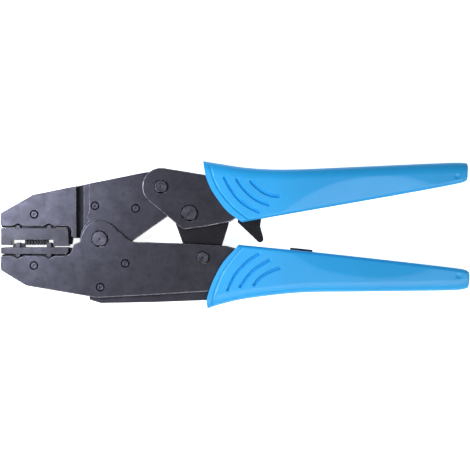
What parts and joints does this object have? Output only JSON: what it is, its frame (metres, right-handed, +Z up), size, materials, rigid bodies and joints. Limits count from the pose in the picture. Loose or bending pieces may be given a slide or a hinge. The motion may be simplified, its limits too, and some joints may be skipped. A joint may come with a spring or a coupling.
{
  "type": "ratchet crimping tool",
  "caption": "Hand crimping tool for modular telecom plugs: laminated steel jaws with a plug nest, a ratcheting toggle linkage with a release lever, and moulded plastic grips.",
  "frame": {"origin": "on the main pivot's axis, at the surface that the tool lies on", "axes": "+X from the nose towards the handles, +Y towards the moving jaw and its handle, +Z up along the pivots"},
  "size_m": [0.2198, 0.0694, 0.017],
  "materials": {
    "black_oxide_steel": "black oxide, satin",
    "die_steel": "fine ground, satin",
    "dark_steel": "black oxide, matte",
    "pin_steel": "turned, satin",
    "spring_steel": "drawn wire",
    "blue_grip": "semi-gloss, moulded",
    "black_rubber": "matte"
  },
  "bodies": {
    "lower_frame": {"lower_frame_plate_front": "black_oxide_steel", "lower_frame_plate_back": "black_oxide_steel", "lower_frame_core": "black_oxide_steel", "lower_die": "die_steel", "lower_die_post_left_front": "die_steel", "lower_die_post_left_back": "die_steel", "lower_die_post_right_front": "die_steel", "lower_die_post_right_back": "die_steel", "nest_rail_left": "dark_steel", "nest_rail_right": "dark_steel", "lower_die_rivet": "pin_steel", "lower_frame_rivet_1": "pin_steel", "lower_frame_rivet_2": "pin_steel", "lower_tang_rivet_1": "pin_steel", "lower_tang_rivet_2": "pin_steel", "main_pivot_pin": "pin_steel", "main_pivot_ring": "dark_steel", "link_lower_pin": "pin_steel", "link_lower_ring": "dark_steel", "spring_anchor_pin": "pin_steel", "return_spring": "spring_steel", "lower_grip": "blue_grip", "handle_stop": "black_rubber"},
    "upper_jaw": {"upper_jaw_core": "dark_steel", "upper_jaw_inner_plate_front": "black_oxide_steel", "upper_jaw_inner_plate_back": "black_oxide_steel", "upper_jaw_side_plate_front": "black_oxide_steel", "upper_jaw_side_plate_back": "black_oxide_steel", "nose_cheek_front": "black_oxide_steel", "nose_cheek_back": "black_oxide_steel", "upper_die": "die_steel", "upper_die_post_left_front": "die_steel", "upper_die_post_left_back": "die_steel", "upper_die_post_right_front": "die_steel", "upper_die_post_right_back": "die_steel", "contact_punch": "dark_steel", "strain_relief_bar": "dark_steel", "upper_die_rivet": "pin_steel", "upper_jaw_rivet_1": "pin_steel", "upper_jaw_rivet_2": "pin_steel"},
    "upper_handle": {"upper_handle_plate_front": "black_oxide_steel", "upper_handle_plate_back": "black_oxide_steel", "upper_handle_core": "black_oxide_steel", "handle_rivet_1": "pin_steel", "handle_rivet_2": "pin_steel", "handle_pivot_pin": "pin_steel", "handle_pivot_ring": "dark_steel", "link_upper_pin": "pin_steel", "link_upper_ring": "dark_steel", "pawl_pin": "pin_steel", "pawl_spring_post": "pin_steel", "pawl_spring": "spring_steel", "upper_grip": "blue_grip"},
    "toggle_link": {"toggle_link_front": "dark_steel", "toggle_link_back": "dark_steel", "ratchet_sector": "dark_steel", "link_rivet_1": "pin_steel", "link_rivet_2": "pin_steel", "link_spring_pin": "pin_steel"},
    "release_pawl": {"release_pawl": "dark_steel"}
  },
  "joints": [
    {"name": "handle_hinge", "type": "hinge", "parent": "upper_jaw", "child": "upper_handle", "pos_m": [0.0287, 0.0245, 0.0085], "axis": [0, 0, 1], "range_deg": [-2.2, 38], "deforming": ["return_spring"]},
    {"name": "jaw_hinge", "type": "hinge", "parent": "lower_frame", "child": "upper_jaw", "pos_m": [0, 0, 0.0085], "axis": [0, 0, 1], "range_deg": [-11.4, 0.7]},
    {"name": "link_hinge", "type": "hinge", "parent": "upper_handle", "child": "toggle_link", "pos_m": [0.042, 0.0121, 0.0085], "axis": [0, 0, 1], "range_deg": [-50.2, 3]},
    {"name": "pawl_hinge", "type": "hinge", "parent": "upper_handle", "child": "release_pawl", "pos_m": [0.0675, 0.022, 0.0085], "axis": [0, 0, 1], "range_deg": [-7.2, 12], "stiffness_Nm_per_rad": 0.05, "deforming": ["pawl_spring"]}
  ],
  "couplings": [
    {"joint": "jaw_hinge", "follows": "handle_hinge", "ratio": -0.2975},
    {"joint": "link_hinge", "follows": "handle_hinge", "ratio": -1.3167}
  ]
}
